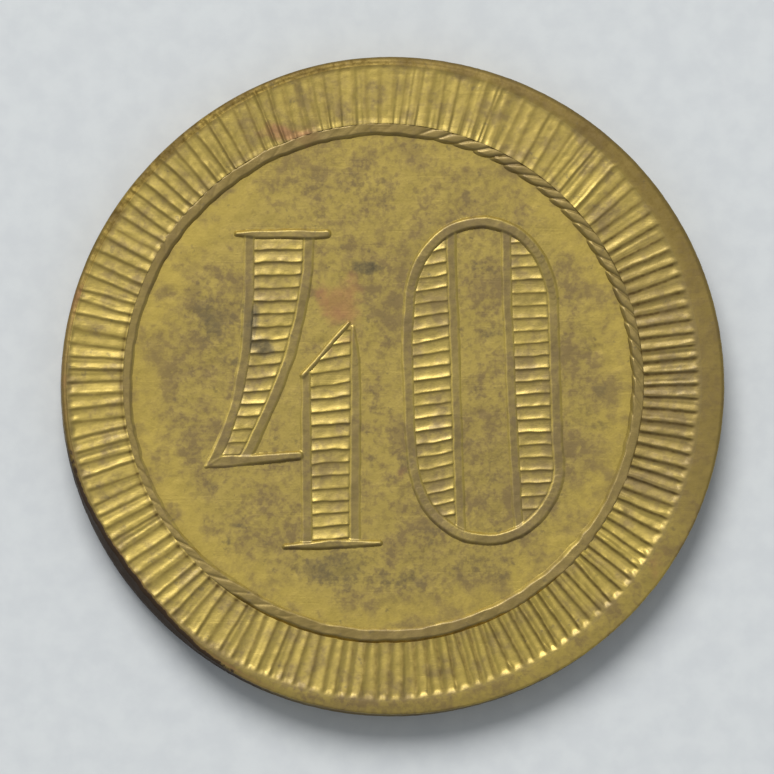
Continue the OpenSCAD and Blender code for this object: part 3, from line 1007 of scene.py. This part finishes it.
def toned_colour(g, broad, patch, speck, rubbed):
    """Mottled brass with fresh hollows and painted highlights, stains, copper patches and rubbed tops."""
    mottle = g.math("ADD", g.ramp(broad, 0.4, 0.66, -0.05, 0.5), g.ramp(patch, 0.42, 0.66, -0.05, 0.65))
    mottle = g.math("ADD", mottle, g.ramp(speck, 0.4, 0.65, -0.2, 0.4), clamp=True)
    colour = g.mix(mottle, CLEAN, TONED)
    # fresh metal and painted highlights
    fresh = g.math("MULTIPLY", g.attribute("gold"), g.ramp(patch, 0.7, 0.4, 0.2, 0.8))
    colour = g.mix(fresh, colour, FRESH_AND_HIGHLIGHT)
    ragged = g.math("ADD", g.attribute("tone"), g.ramp(speck, 0.35, 0.7, -0.12, 0.12))
    ragged = g.math("ADD", ragged, g.ramp(patch, 0.35, 0.7, -0.12, 0.12))
    colour = g.mix(g.ramp(ragged, 0.2, 0.95, 0, 0.9), colour, STAIN)
    colour = g.mix(g.ramp(ragged, 0.8, 1.15, 0, 0.75), colour, DEEP)
    pinkish = g.math("ADD", g.attribute("copper"), g.ramp(patch, 0.35, 0.7, -0.25, 0.15))
    colour = g.mix(g.ramp(pinkish, 0.2, 0.95, 0, 0.7), colour, PINK)
    worn = g.math("MULTIPLY", g.attribute("rub"), g.ramp(patch, 0.3, 0.7, 0.95, 0.65))
    return g.mix(worn, colour, rubbed)


def grain_and_scratches(g, place, grain, speck):
    """A bump height: fine grain and a few long scratches in three directions."""
    height = g.math("MULTIPLY", grain, 0.5)
    height = g.math("ADD", height, g.math("MULTIPLY", speck, 0.9))
    for turn, wide, thin in SCRATCHES:
        inputs = {"Vector": place, "Rotation": (0, 0, turn), "Scale": (wide, thin, wide)}
        stretched = g.node("ShaderNodeMapping", inputs).outputs["Vector"]
        streak = g.noise(stretched, 1, 2, 0.5)
        height = g.math("ADD", height, g.ramp(streak, 0.62, 0.74, 0, -0.13))
    return height


def brass(name, rough=0.48, rubbed=RUBBED, coat=0.35):
    """Toned struck brass: mottled colour, stains, dirt and painted shade in the corners, painted
    highlights, rubbed tops and scratches.
    """
    material = bpy.data.materials.new(name)
    material.use_nodes = True
    g = Graph(material)
    place = g.object_place()
    broad = g.noise(place, 260, 5)
    patch = g.noise(place, 900, 6, 0.6)
    speck = g.noise(place, 4200, 4, 0.6)
    grain = g.noise(place, 14000, 3)

    # colour: toned brass, then dirt and painted shade, dark specks and the scorched edge with its painted
    # shade
    colour = toned_colour(g, broad, patch, speck, rubbed)
    # dirt and painted shade
    dirt_shade = g.math("MULTIPLY", g.attribute("grime"), g.ramp(speck, 0.3, 0.65, 1.1, 0.6))
    colour = g.mix(g.math("MINIMUM", dirt_shade, 0.9), colour, DIRT_AND_SHADE)
    specks = g.ramp(g.noise(place, 2300, 3, 0.6), 0.64, 0.74, 0, 0.5)
    colour = g.mix(specks, colour, STAIN)
    # scorching and painted shade at the lower-left edge
    burnt = g.math("ADD", g.attribute("burnt"), g.ramp(speck, 0.35, 0.7, -0.25, 0.25))
    burnt = g.ramp(burnt, 0.3, 0.75, 0, 1)
    colour = g.mix(burnt, colour, BURNT_AND_SHADE)

    roughness = g.ramp(patch, 0.3, 0.7, rough - 0.06, rough + 0.08)
    roughness = g.math("ADD", roughness, g.ramp(grain, 0.3, 0.7, -0.04, 0.04))
    roughness = g.math("ADD", roughness, g.math("MULTIPLY", dirt_shade, 0.2))
    roughness = g.math("ADD", roughness, g.math("MULTIPLY", burnt, 0.3), clamp=True)

    height = grain_and_scratches(g, place, grain, speck)
    bumped = g.node("ShaderNodeBump", {"Strength": 0.5, "Distance": BUMP_MM * MM, "Height": height})
    g.surface({
        "Base Color": colour, "Metallic": g.ramp(burnt, 0, 1, 0.75, 0.0), "Roughness": roughness,
        "Coat Weight": coat, "Coat Roughness": 0.3, "Normal": bumped.outputs["Normal"],
    })
    return material


# ---- stage, light, camera
def floor():
    """A plain pale table top, well past the picture's edges."""
    material = bpy.data.materials.new("pale_floor")
    material.use_nodes = True
    g = Graph(material)
    place = g.object_place()
    shade = g.mix(g.ramp(g.noise(place, 900, 4), 0.3, 0.7), linear(208, 212, 215), linear(214, 218, 220))
    g.surface({"Base Color": shade, "Roughness": 0.8})
    mesh = bpy.data.meshes.new("floor")
    half = 1.5
    corners = [(-half, -half, 0), (half, -half, 0), (half, half, 0), (-half, half, 0)]
    mesh.from_pydata(corners, [], [(0, 1, 2, 3)])
    mesh.materials.append(material)
    plane = bpy.data.objects.new("floor", mesh)
    bpy.context.scene.collection.objects.link(plane)


def area_light(name, place, target, size, power, colour):
    """A soft round light that faces the target."""
    data = bpy.data.lights.new(name, "AREA")
    data.shape = "DISK"
    data.size = size
    data.energy = power
    data.color = colour
    light = bpy.data.objects.new(name, data)
    light.location = place
    light.rotation_mode = "QUATERNION"
    light.rotation_quaternion = (Vector(target) - Vector(place)).to_track_quat("-Z", "Y")
    bpy.context.scene.collection.objects.link(light)


def lights():
    """One large soft window high up behind the token, and an even cool sky."""
    world = bpy.data.worlds.new("soft_world")
    world.use_nodes = True
    background = world.node_tree.nodes["Background"]
    background.inputs["Color"].default_value = (0.93, 0.97, 1.0, 1)
    background.inputs["Strength"].default_value = 0.36
    bpy.context.scene.world = world
    area_light("window", (-0.3, 0.98, 1.22), (0, 0, 0), 0.96, 22.5, (1.0, 0.985, 0.96))


def camera():
    """Nearly straight down, tipped a little towards the lower left, seen from far off."""
    distance, tilt, heading = 0.45, math.radians(5.5), math.radians(238)
    seen_width = 33.15 * MM
    aim = Vector((-0.23 * MM, -0.07 * MM, TOKEN_T * MM / 2))
    back = Vector((math.sin(tilt) * math.cos(heading), math.sin(tilt) * math.sin(heading), math.cos(tilt)))
    data = bpy.data.cameras.new("camera")
    data.sensor_width = 36
    data.lens = data.sensor_width * distance / seen_width
    data.clip_start, data.clip_end = 0.01, 5
    seat = bpy.data.objects.new("camera", data)
    right = Vector((0, 1, 0)).cross(back).normalized()
    turn = Matrix((right, back.cross(right), back)).transposed()
    seat.matrix_world = Matrix.Translation(aim + back * distance) @ turn.to_4x4()
    bpy.context.scene.collection.objects.link(seat)
    bpy.context.scene.camera = seat


# ---- making it all
def main():
    scene = bpy.context.scene
    scene.view_settings.view_transform = "Standard"
    scene.view_settings.look = "None"
    camera()
    lights()
    floor()
    flan_brass = brass("flan_brass", coat=0.0)
    rim_brass = brass("rim_brass", rough=0.5, coat=0.0)
    ray_brass = brass("ray_brass", rough=0.46)
    rope_brass = brass("rope_brass")
    frame_brass = brass("frame_brass", rubbed=MATTE)
    hatching_brass = brass("hatching_brass", rough=0.42)
    flan(flan_brass)
    for side in SIDES:
        ray_border(side, ray_brass)
        rim(side, rim_brass)
        rope_circle(side, rope_brass)
        ribbon_frame(side, "four", FOUR, four_ribbons(), frame_brass)
        ribbon_frame(side, "zero", ZERO, zero_ribbons(), frame_brass)
        hatch_bars(side, "four", FOUR, four_openings, four_ribbons(), four_slant, hatching_brass)
        hatch_bars(side, "zero", ZERO, zero_openings, zero_ribbons(), zero_slant, hatching_brass)


main()
